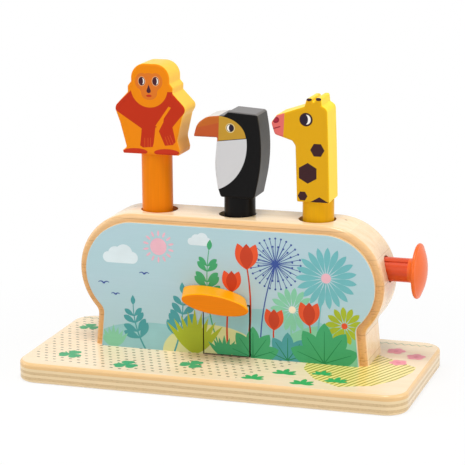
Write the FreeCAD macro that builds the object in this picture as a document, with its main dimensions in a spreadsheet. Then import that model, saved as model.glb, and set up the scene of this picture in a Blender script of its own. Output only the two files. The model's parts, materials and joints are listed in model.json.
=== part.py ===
"""Wooden pop-up toy: three painted animals on sprung plungers, let go by a button, a lever and a knob.

The frame stands at the middle of the base's underside: +X to the button's end, +Y to the back, +Z up.
All lengths are millimetres. The sheet "Size" holds every size that can be set by itself, and the
variable set "At" holds the places that follow from them.
"""
import FreeCAD
import Part
import math
import os

import Sketcher

doc = FreeCAD.newDocument("PopUpToy")

# ---------------------------------------------------------------- driving sizes

SIZES = [
    ("base_length", 254.0), ("base_width", 117.0), ("base_thick", 13.0),
    ("base_corner_r", 14.0), ("base_edge_r", 2.0),

    # body: a frame of solid wood with rounded cheeks, open below, closed by a thin panel each side
    ("body_middle_y", 13.5), ("frame_depth", 37.0), ("frame_edge_r", 3.0),
    ("cheek_x", 63.4), ("cheek_z", 63.8), ("cheek_r", 38.1), ("neck_r", 7.0),
    ("foot_x", 91.7), ("leg_splay", 4.8),
    ("cavity_half_length", 77.0), ("top_wall", 14.0), ("cavity_corner_r", 6.0),
    ("panel_thick", 2.5), ("panel_inset", 5.2), ("panel_edge_r", 0.6),

    # plungers, in a row along X; each stands a little to one side in its wide top hole
    ("hole_middle_x", 0.7), ("hole_pitch", 52.9), ("top_hole_r", 12.0),
    ("monkey_shift", -1.3), ("toucan_shift", 1.6), ("giraffe_shift", 0.6),
    ("plunger_r", 10.0), ("plunger_chamfer", 0.8), ("guide_gap", 0.3),
    ("pop_travel", 25.0), ("finger_gap", 12.7),
    ("dowel_r", 4.0), ("dowel_length", 24.0), ("glue_gap", 0.05),
    ("stop_pin_r", 2.5), ("stop_pin_length", 27.0), ("stop_pin_above_end", 4.0),
    ("board_top_z", 62.0), ("board_thick", 5.0), ("board_tenon", 3.0),
    ("catch_depth", 2.5), ("catch_gap", 0.4), ("rest_gap", 0.3),

    # springs under the plungers
    ("spring_mean_r", 7.9), ("spring_wire_r", 0.7), ("spring_turns", 6.5), ("spring_seat_gap", 0.1),
    ("peg_r", 5.0), ("peg_height", 6.0), ("peg_sink", 5.0),

    # figures
    ("figure_thick", 22.0), ("figure_edge_r", 1.2),

    # push button through the body's right end
    ("button_z", 72.5), ("button_rod_r", 7.6), ("button_bore_gap", 0.8), ("button_cap_r", 17.5),
    ("button_cap_x", 120.4), ("button_cap_thick", 2.6), ("button_dome", 3.9), ("button_flare_r", 4.5),
    ("button_tenon_r", 4.5), ("button_tenon", 6.0), ("groove_r", 0.9), ("groove_angle", 49.0),
    ("button_travel", 9.0), ("button_tail_r", 5.0), ("button_tail_gap", 0.5), ("button_shoulder", 4.0),
    ("button_spring_room", 15.0), ("button_tip_r", 8.0), ("button_tip_thick", 3.2),
    ("button_spring_mean_r", 6.6), ("button_spring_wire_r", 0.4), ("button_spring_turns", 5.5),

    # press lever in the front panel
    ("lever_x", -0.5), ("flap_width", 30.2), ("flap_thick", 3.1), ("flap_gap", 0.9),
    ("flap_shoulder_z", 47.0), ("flap_top_z", 54.0), ("flap_foot_gap", 1.0),
    ("tongue_x", -3.5), ("tongue_width", 19.0), ("pivot_z", 51.0), ("pivot_pin_r", 1.25),
    ("pivot_gap", 0.08), ("hinge_thick", 5.0), ("hinge_drop", 2.8), ("hinge_rise", 3.5),
    ("bracket_width", 6.0), ("bracket_thick", 6.0), ("bracket_gap", 0.4),
    ("kicker_thick", 4.5), ("kicker_low_z", 26.0), ("kicker_height", 8.0), ("kicker_width", 14.0),
    ("paddle_reach", 20.6), ("paddle_front_x", -1.3), ("paddle_front_z", 52.1),
    ("paddle_front_half_length", 22.3), ("paddle_front_half_height", 6.3),
    ("paddle_back_x", -8.3), ("paddle_back_z", 53.2), ("paddle_back_half_length", 21.0),
    ("paddle_back_half_height", 4.9), ("paddle_turn", 6.6),
    ("paddle_edge_r", 1.0), ("paddle_dowel_r", 2.2), ("paddle_dowel_length", 14.0),
    ("paddle_dowel_drop", 3.1),
    ("lever_spring_side", 12.3), ("lever_spring_z", 19.0), ("lever_spring_room", 10.0),
    ("lever_spring_mean_r", 2.3), ("lever_spring_wire_r", 0.3), ("lever_spring_turns", 6.5),
    ("spring_post_width", 6.0), ("spring_post_thick", 4.0), ("spring_post_height", 10.0),

    # turning knob in the back panel
    ("knob_z", 72.5), ("knob_r", 17.0), ("knob_thick", 14.0), ("knob_edge_r", 2.0),
    ("knob_scallop_r", 5.0), ("knob_scallop_reach", 19.5), ("knob_shaft_r", 4.0),
    ("shaft_gap", 0.1), ("cam_hub_r", 6.5), ("cam_thick", 7.5), ("lobe_reach", 11.5), ("lobe_r", 4.0),
    ("lobe_gap", 0.5), ("cam_pin_r", 1.0), ("bearing_width", 18.0), ("bearing_height", 21.0),
    ("bearing_length", 14.0), ("shaft_in_knob", 10.0),

    # wood screws that hold the body down
    ("screw_r", 2.0), ("screw_length", 34.0), ("screw_head_r", 4.0), ("screw_head_height", 2.6),
    ("screw_spread_y", 18.0), ("screw_slot", 0.9), ("screw_slot_depth", 1.2),
]

size = doc.addObject("Spreadsheet::Sheet", "Size")
for row, (alias, number) in enumerate(SIZES, start=1):
    size.set("A%d" % row, alias)
    size.set("B%d" % row, str(number))
    size.setAlias("B%d" % row, alias)
doc.recompute()

# ---------------------------------------------------------------- places that follow from the sizes

PLACES = [
    ("frame_front", "Size.body_middle_y - Size.frame_depth / 2"),
    ("frame_back", "Size.body_middle_y + Size.frame_depth / 2"),
    ("panel_front", "At.frame_front - Size.panel_thick"),
    ("body_top", "Size.cheek_z + Size.cheek_r"),
    ("cavity_top", "At.body_top - Size.top_wall"),
    ("monkey_hole_x", "Size.hole_middle_x - Size.hole_pitch"),
    ("toucan_hole_x", "Size.hole_middle_x"),
    ("giraffe_hole_x", "Size.hole_middle_x + Size.hole_pitch"),
    ("monkey_x", "At.monkey_hole_x + Size.monkey_shift"),
    ("toucan_x", "At.toucan_hole_x + Size.toucan_shift"),
    ("giraffe_x", "At.giraffe_hole_x + Size.giraffe_shift"),
    ("figure_low", "At.body_top + Size.finger_gap"),
    ("figure_high", "At.figure_low + Size.pop_travel"),
    ("board_low", "Size.board_top_z - Size.board_thick"),
    ("end_high", "At.board_low - Size.rest_gap - Size.stop_pin_r - Size.stop_pin_above_end"),
    ("end_low", "At.end_high - Size.pop_travel"),
    ("plunger_length", "At.figure_high - At.end_high"),
    ("button_bore_r", "Size.button_rod_r + Size.button_bore_gap"),
    ("button_end", "At.giraffe_x + Size.plunger_r + Size.rest_gap + Size.button_travel"),
    ("button_tip_back",
     "max(Size.cavity_half_length - Size.rest_gap; At.button_end + Size.button_tip_thick)"),
    ("button_seat", "At.button_tip_back + Size.rest_gap + Size.button_shoulder"),
    ("button_step", "At.button_seat + Size.button_spring_room"),
    ("button_joint", "Size.button_cap_x - Size.button_cap_thick - Size.button_flare_r"),
    ("pivot_y", "At.frame_front + Size.hinge_thick / 2"),
    ("flap_front", "At.frame_front - Size.flap_thick"),
    ("paddle_front", "At.flap_front - Size.paddle_reach"),
    ("knob_x", "At.monkey_x + Size.plunger_r + Size.lobe_gap + Size.lobe_reach"),
    ("knob_front", "At.frame_back + Size.panel_thick + Size.rest_gap"),
    ("bearing_front", "At.frame_back - Size.bearing_length"),
    ("cam_front", "At.bearing_front - Size.rest_gap - Size.cam_thick"),
    ("screw_x", "(Size.foot_x + Size.cavity_half_length) / 2"),
]

at = doc.addObject("App::VarSet", "At")
for name, rule in PLACES:
    at.addProperty("App::PropertyFloat", name)
    at.setExpression(name, rule)
    doc.recompute()


def value(name):
    """The number behind a size or a place."""
    return float(getattr(at, name) if name in at.PropertiesList else size.get(name))


# ---------------------------------------------------------------- helpers

TURN = {
    "X": FreeCAD.Rotation(FreeCAD.Vector(0, 1, 0), 90),
    "Y": FreeCAD.Rotation(FreeCAD.Vector(1, 0, 0), -90),
    "Z": FreeCAD.Rotation(),
}


def bind(thing, **rules):
    """Bind properties to expressions; two underscores stand for a dot."""
    for name, rule in rules.items():
        thing.setExpression(name.replace("__", "."), rule)


def put(thing, x="0", y="0", z="0", along="Z"):
    """Place a thing by expressions, its own Z axis turned along X, Y or Z."""
    thing.Placement = FreeCAD.Placement(FreeCAD.Vector(), TURN[along])
    bind(thing, Placement__Base__x=x, Placement__Base__y=y, Placement__Base__z=z)
    return thing


def box(name, x, y, z):
    """A box from the low and high expressions of each side."""
    block = doc.addObject("Part::Box", name)
    bind(block, Length="(%s) - (%s)" % (x[1], x[0]), Width="(%s) - (%s)" % (y[1], y[0]),
         Height="(%s) - (%s)" % (z[1], z[0]))
    return put(block, x[0], y[0], z[0])


def rod(name, radius, length, x="0", y="0", z="0", along="Z"):
    """A cylinder that starts at a point and runs along an axis."""
    cylinder = doc.addObject("Part::Cylinder", name)
    bind(cylinder, Radius=radius, Height=length)
    return put(cylinder, x, y, z, along)


def fuse(name, *shapes):
    union = doc.addObject("Part::MultiFuse", name)
    union.Shapes = list(shapes)
    union.Refine = True
    return union


def cut(name, base, *tools):
    """base with one or more tools taken away."""
    result = doc.addObject("Part::Cut", name)
    result.Base = base
    result.Tool = tools[0] if len(tools) == 1 else fuse(name + "_tools", *tools)
    result.Refine = True
    return result


def group(name, *shapes):
    compound = doc.addObject("Part::Compound", name)
    compound.Links = list(shapes)
    return compound


def edges_where(shape, wanted):
    return [number for number, edge in enumerate(shape.Edges, start=1) if wanted(edge)]


def rounded(name, base, radius, wanted):
    """base with the wanted edges filleted."""
    doc.recompute()
    fillet = doc.addObject("Part::Fillet", name)
    fillet.Base = base
    fillet.Edges = [(number, radius, radius) for number in edges_where(base.Shape, wanted)]
    return fillet


def plane_of(body, role):
    return next(feature for feature in body.Origin.OriginFeatures if feature.Role == role)


def new_body(name):
    return doc.addObject("PartDesign::Body", name)


def new_sketch(body, name, role):
    sketch = body.newObject("Sketcher::SketchObject", name)
    sketch.AttachmentSupport = [(plane_of(body, role), "")]
    sketch.MapMode = "FlatFace"
    return sketch


def limit(sketch, name, rule, *constraint):
    """Add a named dimension to a sketch and bind it."""
    number = sketch.addConstraint(Sketcher.Constraint(*constraint))
    sketch.renameConstraint(number, name)
    sketch.setExpression("Constraints." + name, rule)


def rectangle(sketch, width, height, width_rule, height_rule):
    """A rectangle around the sketch's origin."""
    corners = [(-width / 2, -height / 2), (width / 2, -height / 2),
               (width / 2, height / 2), (-width / 2, height / 2)]
    points = [FreeCAD.Vector(x, y, 0) for x, y in corners]
    for start in range(4):
        sketch.addGeometry(Part.LineSegment(points[start], points[(start + 1) % 4]), False)
    for start in range(4):
        sketch.addConstraint(Sketcher.Constraint("Coincident", start, 2, (start + 1) % 4, 1))
        sketch.addConstraint(Sketcher.Constraint("Vertical" if start % 2 else "Horizontal", start))
    limit(sketch, "width", width_rule, "DistanceX", 0, 1, 0, 2, width)
    limit(sketch, "height", height_rule, "DistanceY", 1, 1, 1, 2, height)
    sketch.addConstraint(Sketcher.Constraint("Symmetric", 0, 1, 1, 2, -1, 1))


def pad(body, name, sketch, length_rule, midplane=False):
    feature = body.newObject("PartDesign::Pad", name)
    feature.Profile = sketch
    feature.Midplane = midplane
    bind(feature, Length=length_rule)
    doc.recompute()
    return feature


def soften(body, name, base, radius_rule, wanted):
    """A PartDesign fillet on the wanted edges of the last feature."""
    feature = body.newObject("PartDesign::Fillet", name)
    feature.Base = (base, ["Edge%d" % number for number in edges_where(base.Shape, wanted)])
    bind(feature, Radius=radius_rule)
    doc.recompute()
    return feature


def corner(before, here, after, radius):
    """The tangent arc that rounds one corner of an outline, as its three points."""
    to_before = (before - here).normalize()
    to_after = (after - here).normalize()
    half = math.acos(max(-1.0, min(1.0, to_before.dot(to_after)))) / 2
    reach = radius / math.tan(half)
    middle_way = (to_before + to_after).normalize()
    nearest = here + middle_way * (radius / math.sin(half) - radius)
    return here + to_before * reach, nearest, here + to_after * reach


def outline(sketch, points):
    """A closed outline of straight runs whose corners (x, z, radius) are rounded by tangent arcs."""
    places = [FreeCAD.Vector(x, z, 0) for x, z, radius in points]
    arcs = [corner(places[i - 1], places[i], places[(i + 1) % len(places)], points[i][2])
            for i in range(len(points))]
    for i, (start, middle, end) in enumerate(arcs):
        sketch.addGeometry(Part.Arc(start, middle, end), False)
        sketch.addGeometry(Part.LineSegment(end, arcs[(i + 1) % len(arcs)][0]), False)
    pieces = 2 * len(arcs)
    for here in range(pieces):
        after = (here + 1) % pieces
        ends = [(sketch.getPoint(here, mine).distanceToPoint(sketch.getPoint(after, theirs)), mine, theirs)
                for mine in (1, 2) for theirs in (1, 2)]
        apart, mine, theirs = min(ends)
        assert apart < 1e-6, "outline is open at run %d" % here
        sketch.addConstraint(Sketcher.Constraint("Coincident", here, mine, after, theirs))


def coil(name, mean_r, wire_r, turns, length_rule, x, y, z, along="Z"):
    """A compression spring: a round wire swept along a helix, its ends inside the given length."""
    helix = doc.addObject("Part::Helix", name + "_path")
    helix.SegmentLength = 1
    bind(helix, Radius=mean_r, Pitch="(%s - 2 * %s) / %s" % (length_rule, wire_r, turns),
         Height="%s - 2 * %s" % (length_rule, wire_r))
    wire = doc.addObject("Part::Circle", name + "_wire")
    bind(wire, Radius=wire_r)
    wire.Placement = FreeCAD.Placement(FreeCAD.Vector(), FreeCAD.Rotation(FreeCAD.Vector(1, 0, 0), 90))
    bind(wire, Placement__Base__x=mean_r)
    doc.recompute()
    sweep = doc.addObject("Part::Sweep", name)
    sweep.Sections = [wire]
    sweep.Spine = (helix, [])
    sweep.Solid = True
    sweep.Frenet = True
    put(sweep, x, y, z, along)
    return sweep


PARTS = []


def part(label, thing):
    """Name a finished piece; its label is its file's name."""
    thing.Label = label
    PARTS.append(thing)
    return thing


# ---------------------------------------------------------------- base board

base = new_body("Base")
base_sketch = new_sketch(base, "BaseOutline", "XY_Plane")
rectangle(base_sketch, value("base_length"), value("base_width"), "Size.base_length", "Size.base_width")
base_pad = pad(base, "BasePad", base_sketch, "Size.base_thick")


def upright(edge):
    return abs(edge.tangentAt(edge.FirstParameter).z) > 0.99


def level(edge):
    return edge.BoundBox.ZLength < 1e-6


base_corners = soften(base, "BaseCorners", base_pad, "Size.base_corner_r", upright)
base_edges = soften(base, "BaseEdges", base_corners, "Size.base_edge_r", level)

SCREW_PLACES = [(side, row) for side in (-1, 1) for row in (-0.5, 0.5)]


def screw_place(side, row):
    return "%d * At.screw_x" % side, "Size.body_middle_y + %s * Size.screw_spread_y" % row


def screw_tool(name, side, row, gap):
    """A countersunk screw standing point up from the underside, grown by a gap."""
    x, y = screw_place(side, row)
    head = doc.addObject("Part::Cone", name + "_head")
    bind(head, Radius1="Size.screw_head_r + " + gap, Radius2="Size.screw_r + " + gap,
         Height="Size.screw_head_height + " + gap)
    put(head, x, y)
    shank = rod(name + "_shank", "Size.screw_r + " + gap, "Size.screw_length + " + gap, x, y)
    return fuse(name, head, shank)


screw_holes = [screw_tool("ScrewHole%d" % number, side, row, "Size.glue_gap")
               for number, (side, row) in enumerate(SCREW_PLACES)]
screws = []
for number, (side, row) in enumerate(SCREW_PLACES):
    x, y = screw_place(side, row)
    half_slot = "Size.screw_slot / 2"
    slots = [box("ScrewSlot%d_%d" % (number, way),
                 (x + " - " + (half_slot if way else "Size.screw_head_r * 0.6"),
                  x + " + " + (half_slot if way else "Size.screw_head_r * 0.6")),
                 (y + " - " + ("Size.screw_head_r * 0.6" if way else half_slot),
                  y + " + " + ("Size.screw_head_r * 0.6" if way else half_slot)),
                 ("0", "Size.screw_slot_depth")) for way in (0, 1)]
    screws.append(cut("Screw%d" % number, screw_tool("ScrewBlank%d" % number, side, row, "0"), *slots))
part("base_screws", group("Screws", *screws))

AXES = [("Monkey", "At.monkey_x"), ("Toucan", "At.toucan_x"), ("Giraffe", "At.giraffe_x")]
peg_holes = [rod(animal + "PegHole", "Size.peg_r + Size.glue_gap", "Size.peg_sink",
                 x, "Size.body_middle_y", "Size.base_thick - Size.peg_sink") for animal, x in AXES]
part("base_board", cut("BaseBoard", base, *screw_holes, *peg_holes))
part("spring_pegs", group("SpringPegs", *[
    rod(animal + "Peg", "Size.peg_r", "Size.peg_sink + Size.peg_height",
        x, "Size.body_middle_y", "Size.base_thick - Size.peg_sink") for animal, x in AXES]))


# ---------------------------------------------------------------- body frame and panels

def cheeked_block(name, inset, front, depth):
    """The body's outline as a block: round cheeks on splayed legs, with a hollow neck between them."""
    top = box(name + "Top", ("-Size.cheek_x", "Size.cheek_x"), (front, "%s + %s" % (front, depth)),
              ("Size.cheek_z", "At.body_top - " + inset))
    legs = doc.addObject("Part::Wedge", name + "Legs")
    foot = "(Size.foot_x - %s)" % inset
    bind(legs, Xmin="-" + foot, Xmax=foot, X2min="-(%s - Size.leg_splay)" % foot,
         X2max="%s - Size.leg_splay" % foot, Ymin="Size.base_thick", Ymax="Size.cheek_z",
         Zmin="0", Zmax=depth, Z2min="0", Z2max=depth)
    legs.Placement = FreeCAD.Placement(FreeCAD.Vector(), FreeCAD.Rotation(FreeCAD.Vector(1, 0, 0), 90))
    bind(legs, Placement__Base__y="%s + %s" % (front, depth))
    cheeks = [rod(name + side + "Cheek", "Size.cheek_r - " + inset, depth,
                  sign + "Size.cheek_x", front, "Size.cheek_z", "Y")
              for side, sign in (("Left", "-"), ("Right", ""))]
    whole = fuse(name + "Whole", top, legs, *cheeks)
    doc.recompute()

    def in_neck(edge):
        along_y = edge.BoundBox.XLength < 1e-6 and edge.BoundBox.ZLength < 1e-6
        return along_y and value("base_thick") + 1 < edge.CenterOfMass.z < value("cheek_z") - 1

    return rounded(name + "Neck", whole, value("neck_r"), in_neck)


def rim(front, back):
    """Edges of the outline on the front or back face, without the ones on the base."""
    def wanted(edge):
        box_of = edge.BoundBox
        on_face = box_of.YLength < 1e-6 and min(abs(box_of.YMin - front), abs(box_of.YMin - back)) < 1e-6
        on_base = box_of.ZLength < 1e-6 and abs(box_of.ZMin - value("base_thick")) < 1e-6
        return on_face and not on_base
    return wanted


frame_blank = rounded("FrameRim", cheeked_block("Frame", "0", "At.frame_front", "Size.frame_depth"),
                      value("frame_edge_r"), rim(value("frame_front"), value("frame_back")))
cavity_box = box("CavityBox", ("-Size.cavity_half_length", "Size.cavity_half_length"),
                 ("At.frame_front", "At.frame_back"), ("Size.base_thick", "At.cavity_top"))
doc.recompute()


def cavity_corner(edge):
    return edge.BoundBox.YLength > 1 and abs(edge.BoundBox.ZMax - value("cavity_top")) < 1e-6


cavity = rounded("Cavity", cavity_box, value("cavity_corner_r"), cavity_corner)
top_holes = [rod(animal + "TopHole", "Size.top_hole_r", "Size.top_wall + 2 * Size.rest_gap",
                 "At.%s_hole_x" % animal.lower(), "Size.body_middle_y",
                 "At.cavity_top - Size.rest_gap") for animal, x in AXES]
board_end = "(Size.cavity_half_length + Size.board_tenon)"
board_slot = box("BoardSlot", ("-" + board_end, board_end), ("At.frame_front", "At.frame_back"),
                 ("At.board_low", "Size.board_top_z"))
button_bore = rod("ButtonBore", "At.button_bore_r", "Size.cheek_x + Size.cheek_r - At.button_seat + 1",
                  "At.button_seat", "Size.body_middle_y", "Size.button_z", "X")
button_throat = rod("ButtonThroat", "Size.button_tail_r + Size.button_tail_gap",
                    "At.button_seat - At.button_end + 1", "At.button_end", "Size.body_middle_y",
                    "Size.button_z", "X")
# a thick tip or a short cavity lets the tip into the end wall
tip_recess = rod("TipRecess", "Size.button_tip_r + Size.button_tail_gap",
                 "At.button_tip_back + Size.rest_gap - At.button_end", "At.button_end",
                 "Size.body_middle_y", "Size.button_z", "X")
part("body_frame", cut("BodyFrame", frame_blank, cavity, board_slot, button_bore, button_throat,
                       tip_recess, *top_holes, *screw_holes))

board_blank = box("BoardBlank", ("-" + board_end, board_end), ("At.frame_front", "At.frame_back"),
                  ("At.board_low", "Size.board_top_z"))
# each guide hole is a short slot: the plunger can shift off its catch in the direction of the push
PUSH = {"Monkey": ("- Size.catch_depth", ""), "Toucan": ("", "+ Size.catch_depth"),
        "Giraffe": ("- Size.catch_depth", "")}
guide_holes = []
for animal, x in AXES:
    push_x, push_y = PUSH[animal]
    for step, (dx, dy) in enumerate((("", ""), (push_x, push_y))):
        guide_holes.append(rod("%sGuide%d" % (animal, step), "Size.plunger_r + Size.guide_gap",
                               "Size.board_thick", "%s %s" % (x, dx), "Size.body_middle_y %s" % dy,
                               "At.board_low"))
    reach = "(Size.plunger_r + Size.guide_gap)"
    if push_x:
        guide_holes.append(box(animal + "GuideWay", ("%s %s" % (x, push_x), x),
                               ("Size.body_middle_y - " + reach, "Size.body_middle_y + " + reach),
                               ("At.board_low", "Size.board_top_z")))
    else:
        guide_holes.append(box(animal + "GuideWay", (x + " - " + reach, x + " + " + reach),
                               ("Size.body_middle_y", "Size.body_middle_y " + push_y),
                               ("At.board_low", "Size.board_top_z")))
part("latch_board", cut("LatchBoard", board_blank, *guide_holes))

front_blank = rounded("FrontPanelRim",
                      cheeked_block("FrontPanel", "Size.panel_inset", "At.panel_front", "Size.panel_thick"),
                      value("panel_edge_r"), rim(value("panel_front"), value("panel_front")))


def flap_shape(name, grown, front, foot):
    """The flap, broad below and with a narrow tongue above, grown by a gap at its sides and top."""
    half_flap, half_tongue = "(Size.flap_width / 2 + %s)" % grown, "(Size.tongue_width / 2 + %s)" % grown
    return fuse(name, *[
        box(name + run, ("%s - %s" % (middle, half), "%s + %s" % (middle, half)),
            (front, "At.frame_front"), (foot, "%s + %s" % (top, grown)))
        for run, middle, half, top in (("Broad", "Size.lever_x", half_flap, "Size.flap_shoulder_z"),
                                       ("Tongue", "Size.tongue_x", half_tongue, "Size.flap_top_z"))])


window = flap_shape("Window", "Size.flap_gap", "At.panel_front", "Size.base_thick")
part("front_panel", cut("FrontPanelCut", front_blank, window))

rear = value("frame_back") + value("panel_thick")
back_blank = rounded("BackPanelRim",
                     cheeked_block("BackPanel", "Size.panel_inset", "At.frame_back", "Size.panel_thick"),
                     value("panel_edge_r"), rim(rear, rear))
part("back_panel", cut("BackPanelCut", back_blank,
                       rod("KnobHole", "Size.knob_shaft_r + Size.rest_gap", "Size.panel_thick",
                           "At.knob_x", "At.frame_back", "Size.knob_z", "Y")))

# ---------------------------------------------------------------- plungers, figures and springs

# Each outline is (x, height, corner radius) from the plunger's axis and the figure's underside.
MONKEY = [
    (18.7, 0.0, 1.0), (19.3, 3.0, 1.6), (17.6, 10.0, 7.0), (21.1, 25.0, 3.0), (24.2, 30.2, 4.2),
    (15.0, 39.8, 1.2), (15.2, 43.4, 1.6), (13.0, 46.0, 1.2), (13.1, 58.4, 9.5),
    (-13.2, 58.4, 9.5), (-13.0, 46.8, 1.2), (-15.4, 43.8, 1.6), (-15.4, 39.8, 1.2),
    (-24.7, 30.0, 4.4), (-21.0, 20.0, 14.0), (-16.8, 4.0, 1.6), (-19.6, 1.9, 0.9), (-19.0, 0.0, 0.7),
]
TOUCAN = [
    (12.8, 0.0, 1.5), (19.2, 29.0, 100.0), (15.0, 54.1, 2.2), (-3.9, 55.3, 2.0), (-6.9, 52.8, 2.0),
    (-18.2, 51.5, 11.0), (-25.0, 46.8, 10.0), (-27.3, 38.2, 0.7), (-11.5, 38.2, 0.8), (-13.4, 20.0, 50.0),
    (-11.4, 5.6, 3.0), (-9.5, 0.0, 1.5),
]
GIRAFFE = [
    (9.9, 0.0, 1.0), (9.2, 34.0, 30.0), (8.4, 59.2, 4.0), (4.8, 61.4, 0.8), (4.3, 66.4, 1.3),
    (1.0, 66.3, 1.3), (-0.4, 61.8, 0.8), (-1.7, 65.9, 1.3), (-4.9, 65.7, 1.3),
    (-6.4, 60.6, 1.2), (-19.0, 56.2, 2.0), (-24.2, 54.6, 2.2), (-27.9, 49.6, 2.6),
    (-25.6, 42.2, 2.4), (-14.2, 38.6, 2.0), (-12.2, 35.6, 2.0), (-11.2, 0.0, 1.0),
]


def figure(animal, x, points, bottom):
    """An animal sawn from a board, its edges softened, with a blind hole for its dowel."""
    body = new_body(animal + "Board")
    sketch = new_sketch(body, animal + "Outline", "XZ_Plane")
    outline(sketch, points)
    slab = pad(body, animal + "Pad", sketch, "Size.figure_thick", midplane=True)
    half = value("figure_thick") / 2
    soften(body, animal + "Edges", slab, "Size.figure_edge_r",
           lambda edge: edge.BoundBox.YLength < 1e-6 and abs(abs(edge.BoundBox.YMin) - half) < 1e-6)
    put(body, x, "Size.body_middle_y", bottom)
    hole = rod(animal + "DowelHole", "Size.dowel_r + Size.glue_gap",
               "Size.dowel_length / 2 + Size.glue_gap", x, "Size.body_middle_y", bottom)
    return part(animal.lower() + "_figure", cut(animal + "Figure", body, hole))


def plunger(animal, x, top, catch_side):
    """A dowel rod with a blind top hole, a cross hole for its stop pin and a catch in its side."""
    end = "(%s - At.plunger_length)" % top
    blank = rod(animal + "Rod", "Size.plunger_r", "At.plunger_length", x, "Size.body_middle_y", end)
    doc.recompute()
    foot = doc.addObject("Part::Chamfer", animal + "RodFoot")
    foot.Base = blank
    chamfer = value("plunger_chamfer")
    low = blank.Shape.BoundBox.ZMin
    foot.Edges = [(number, chamfer, chamfer) for number in edges_where(
        blank.Shape, lambda edge: edge.BoundBox.ZMax < low + 1e-6)]
    top_hole = rod(animal + "RodTopHole", "Size.dowel_r + Size.glue_gap",
                   "Size.dowel_length / 2 + Size.glue_gap", x, "Size.body_middle_y",
                   "%s - Size.dowel_length / 2 - Size.glue_gap" % top)
    pin_z = "%s + Size.stop_pin_above_end" % end
    pin_start = "%s - Size.stop_pin_length / 2" % x
    cross_hole = rod(animal + "CrossHole", "Size.stop_pin_r + Size.glue_gap", "Size.stop_pin_length",
                     pin_start, "Size.body_middle_y", pin_z, "X")
    catch_low = "%s + At.board_low - At.end_low - Size.catch_gap" % end
    catch_high = "%s + Size.board_top_z - At.end_low + Size.catch_gap" % end
    wide = "2 * Size.plunger_r"
    inner = "Size.plunger_r - Size.catch_depth"
    if catch_side == "right":
        sides = ((x + " + " + inner, x + " + " + wide),
                 ("Size.body_middle_y - " + wide, "Size.body_middle_y + " + wide))
    else:
        sides = ((x + " - " + wide, x + " + " + wide),
                 ("Size.body_middle_y - " + wide, "Size.body_middle_y - (%s)" % inner))
    catch = box(animal + "Catch", sides[0], sides[1], (catch_low, catch_high))
    part(animal.lower() + "_plunger", cut(animal + "Plunger", foot, top_hole, cross_hole, catch))
    part(animal.lower() + "_dowel", rod(animal + "Dowel", "Size.dowel_r", "Size.dowel_length", x,
                                        "Size.body_middle_y", "%s - Size.dowel_length / 2" % top))
    part(animal.lower() + "_stop_pin", rod(animal + "StopPin", "Size.stop_pin_r",
                                           "Size.stop_pin_length", pin_start, "Size.body_middle_y",
                                           pin_z, "X"))
    room = "(%s - Size.base_thick - 2 * Size.spring_seat_gap)" % end
    part(animal.lower() + "_spring",
         coil(animal + "Spring", "Size.spring_mean_r", "Size.spring_wire_r", "Size.spring_turns", room,
              x, "Size.body_middle_y",
              "Size.base_thick + Size.spring_seat_gap + Size.spring_wire_r"))


ANIMALS = [("Monkey", "At.monkey_x", MONKEY, "At.figure_high", "right"),
           ("Toucan", "At.toucan_x", TOUCAN, "At.figure_low", "front"),
           ("Giraffe", "At.giraffe_x", GIRAFFE, "At.figure_low", "right")]
for animal, x, points, bottom, catch_side in ANIMALS:
    figure(animal, x, points, bottom)
    plunger(animal, x, bottom, catch_side)

# ---------------------------------------------------------------- push button

rod_r, tail_r, tenon_r = value("button_rod_r"), value("button_tail_r"), value("button_tenon_r")
cap_r, cap_x, flare_r = value("button_cap_r"), value("button_cap_x"), value("button_flare_r")
cap_back = cap_x - value("button_cap_thick")
joint_x = value("button_joint")
socket_r = tenon_r + value("glue_gap")
socket_x = joint_x + value("button_tenon") + value("glue_gap")
apex = cap_x + value("button_dome")
rim_r = value("button_cap_thick") / 2
dome_r = ((cap_r - rim_r) ** 2 + (apex - cap_x) ** 2) / (2 * (apex - cap_x))
half_angle = math.asin((cap_r - rim_r) / dome_r) / 2
slant = flare_r * math.sqrt(0.5)


def turned(name, runs):
    """A piece turned about its own X axis; each run is a straight line or an arc, as its points."""
    body = new_body(name)
    sketch = new_sketch(body, name + "Profile", "XZ_Plane")
    for run in runs:
        points = [FreeCAD.Vector(x, radius, 0) for x, radius in run]
        shape = Part.LineSegment(*points) if len(points) == 2 else Part.Arc(*points)
        sketch.addGeometry(shape, False)
    turning = body.newObject("PartDesign::Revolution", name + "Turning")
    turning.Profile = sketch
    turning.ReferenceAxis = (plane_of(body, "X_Axis"), [""])
    turning.Angle = 360
    return put(body, "0", "Size.body_middle_y", "Size.button_z")


def lines(*points):
    """Straight runs from point to point."""
    return list(zip(points, points[1:]))


part("button_cap", turned("ButtonCap", [
    *lines((apex, 0), (socket_x, 0), (socket_x, socket_r), (joint_x, socket_r), (joint_x, rod_r)),
    ((joint_x, rod_r), (joint_x + slant, rod_r + flare_r - slant), (cap_back, rod_r + flare_r)),
    ((cap_back, rod_r + flare_r), (cap_back, cap_r - rim_r)),
    ((cap_back, cap_r - rim_r), (cap_back + rim_r, cap_r), (cap_x, cap_r - rim_r)),
    ((cap_x, cap_r - rim_r),
     (apex - dome_r * (1 - math.cos(half_angle)), dome_r * math.sin(half_angle)), (apex, 0)),
]))
button_end, button_step = value("button_end"), value("button_step")
tenon_end = joint_x + value("button_tenon")
rod_blank = turned("ButtonRod", lines(
    (tenon_end, 0), (button_end, 0), (button_end, tail_r), (button_step, tail_r), (button_step, rod_r),
    (joint_x, rod_r), (joint_x, tenon_r), (tenon_end, tenon_r), (tenon_end, 0)))
groove = rod("ButtonGroove", "Size.groove_r", "At.button_joint - At.button_step", "At.button_step",
             "Size.body_middle_y - Size.button_rod_r * cos(Size.groove_angle * 1 deg)",
             "Size.button_z + Size.button_rod_r * sin(Size.groove_angle * 1 deg)", "X")
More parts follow.
